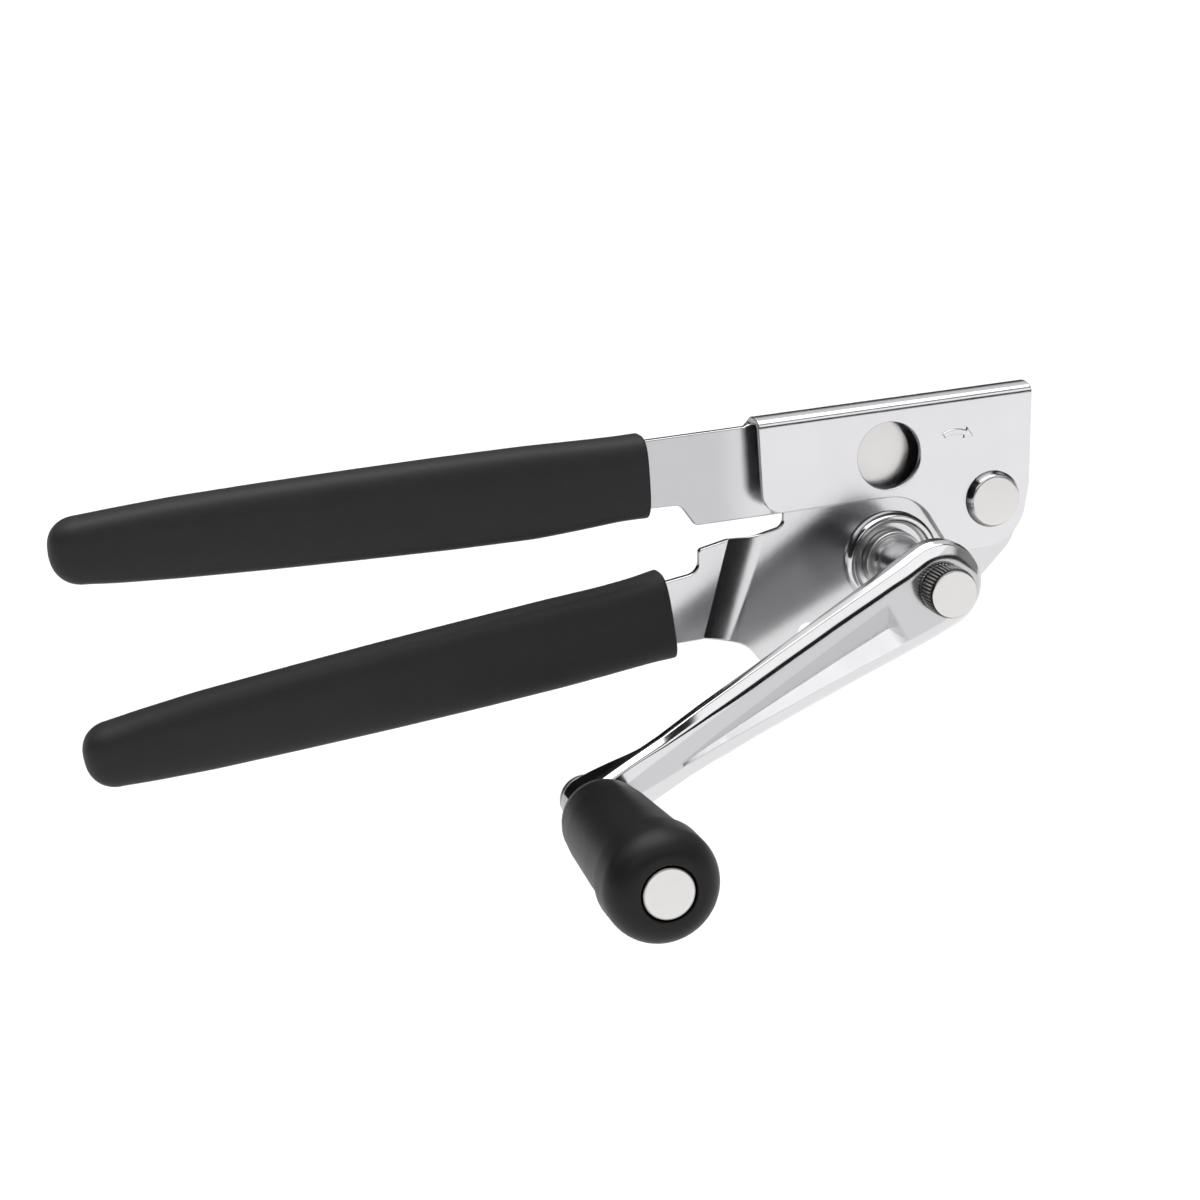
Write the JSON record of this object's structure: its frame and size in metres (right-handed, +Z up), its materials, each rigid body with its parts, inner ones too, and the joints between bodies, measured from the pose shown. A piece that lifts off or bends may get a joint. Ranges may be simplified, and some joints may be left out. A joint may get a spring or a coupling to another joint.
{
  "type": "manual can opener",
  "caption": "Hand-crank can opener: two black-gripped steel handles on a pivot, a long chrome crank with a turning knob, a toothed feed wheel and a geared cutter wheel.",
  "frame": {"origin": "middle of the object's box with the handles closed and the crank as pictured", "axes": "+X runs from the grips to the head, +Y away from the crank side, +Z up across the handles, from the crank's handle to the folded head"},
  "size_m": [0.1994, 0.0794, 0.0802],
  "materials": {
    "plated_sheet": "satin nickel-plated sheet steel, fine grain",
    "chrome_crank": "polished chrome",
    "turned_steel": "satin turned steel",
    "tool_steel": "hardened, ground",
    "grip_vinyl": "matte charcoal soft vinyl",
    "knob_rubber": "matte black soft rubber"
  },
  "bodies": {
    "upper_half": {"upper_frame": "plated_sheet", "upper_grip": "grip_vinyl", "pivot_rivet": "turned_steel", "pivot_washer": "turned_steel", "cutter_stud": "turned_steel", "cutter_washer": "turned_steel"},
    "lower_half": {"lower_handle": "plated_sheet", "lower_grip": "grip_vinyl", "shaft_collar": "plated_sheet", "shaft_bushing": "turned_steel"},
    "crank": {"drive_shaft": "turned_steel", "shaft_cap": "turned_steel", "shaft_spacer": "turned_steel", "crank_arm": "chrome_crank", "feed_gear": "tool_steel", "feed_wheel": "tool_steel", "knob_pin": "turned_steel", "knob_washer": "turned_steel"},
    "knob": {"crank_knob": "knob_rubber", "knob_sleeve": "tool_steel"},
    "cutter": {"cutter_wheel": "tool_steel", "cutter_spacer": "turned_steel", "cutter_gear": "tool_steel"}
  },
  "joints": [
    {"name": "handle_pivot", "type": "hinge", "parent": "upper_half", "child": "lower_half", "pos_m": [0.09, 0.02325, 0.01702], "axis": [0, -1, 0], "range_deg": [0, 35]},
    {"name": "crank_spin", "type": "hinge", "parent": "lower_half", "child": "crank", "pos_m": [0.0675, 0.02325, 0.00717], "axis": [0, 1, 0], "continuous": true},
    {"name": "knob_spin", "type": "hinge", "parent": "crank", "child": "knob", "pos_m": [-0.00448, -0.01675, -0.02888], "axis": [0, 1, 0], "continuous": true},
    {"name": "cutter_spin", "type": "hinge", "parent": "upper_half", "child": "cutter", "pos_m": [0.0675, 0.03525, 0.02847], "axis": [0, 1, 0], "continuous": true}
  ],
  "couplings": [
    {"joint": "cutter_spin", "follows": "crank_spin", "ratio": -1.2857}
  ]
}
